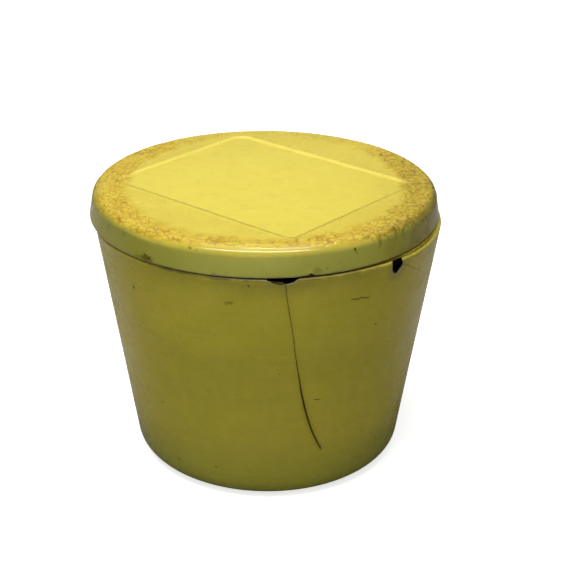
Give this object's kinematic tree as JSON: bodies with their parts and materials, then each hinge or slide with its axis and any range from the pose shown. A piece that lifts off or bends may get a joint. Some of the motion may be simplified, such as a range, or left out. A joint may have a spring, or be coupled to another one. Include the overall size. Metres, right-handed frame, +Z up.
{
  "type": "powder jar",
  "caption": "Round tapered vanity powder jar of yellowed early plastic, with a loose lift-off lid that has a crazed shoulder and a sunk four-sided panel; rim chips and a long crack.",
  "frame": {"origin": "centre of the jar's flat underside, where it stands on the table", "axes": "+Z up along the jar's axis; +Y away from the viewer, so the front with the long crack faces -Y; +X to the viewer's right"},
  "size_m": [0.1041, 0.1055, 0.0832],
  "materials": {
    "shell_plastic": "polished yellow-olive pyroxylin plastic, dulled and lightly mottled, with one long crack and two rim chips",
    "bowl_plastic": "satin yellowed pyroxylin plastic, powder-stained",
    "base_plastic": "satin, rubbed on the underside",
    "lid_plastic": "polished warm yellow pyroxylin plastic, orange-brown crazing round the shoulder",
    "lid_lining": "satin yellowed pyroxylin plastic"
  },
  "bodies": {
    "jar": {"jar_shell": "shell_plastic", "inner_cup": "bowl_plastic", "base_disc": "base_plastic"},
    "lid": {"lid_cover": "lid_plastic", "lid_inner_plate": "lid_lining", "lid_collar": "lid_lining"}
  },
  "joints": [
    {"name": "lid_lift", "type": "slide", "parent": "jar", "child": "lid", "axis": [0, 0, 1], "range_m": [0, 0.09]}
  ]
}
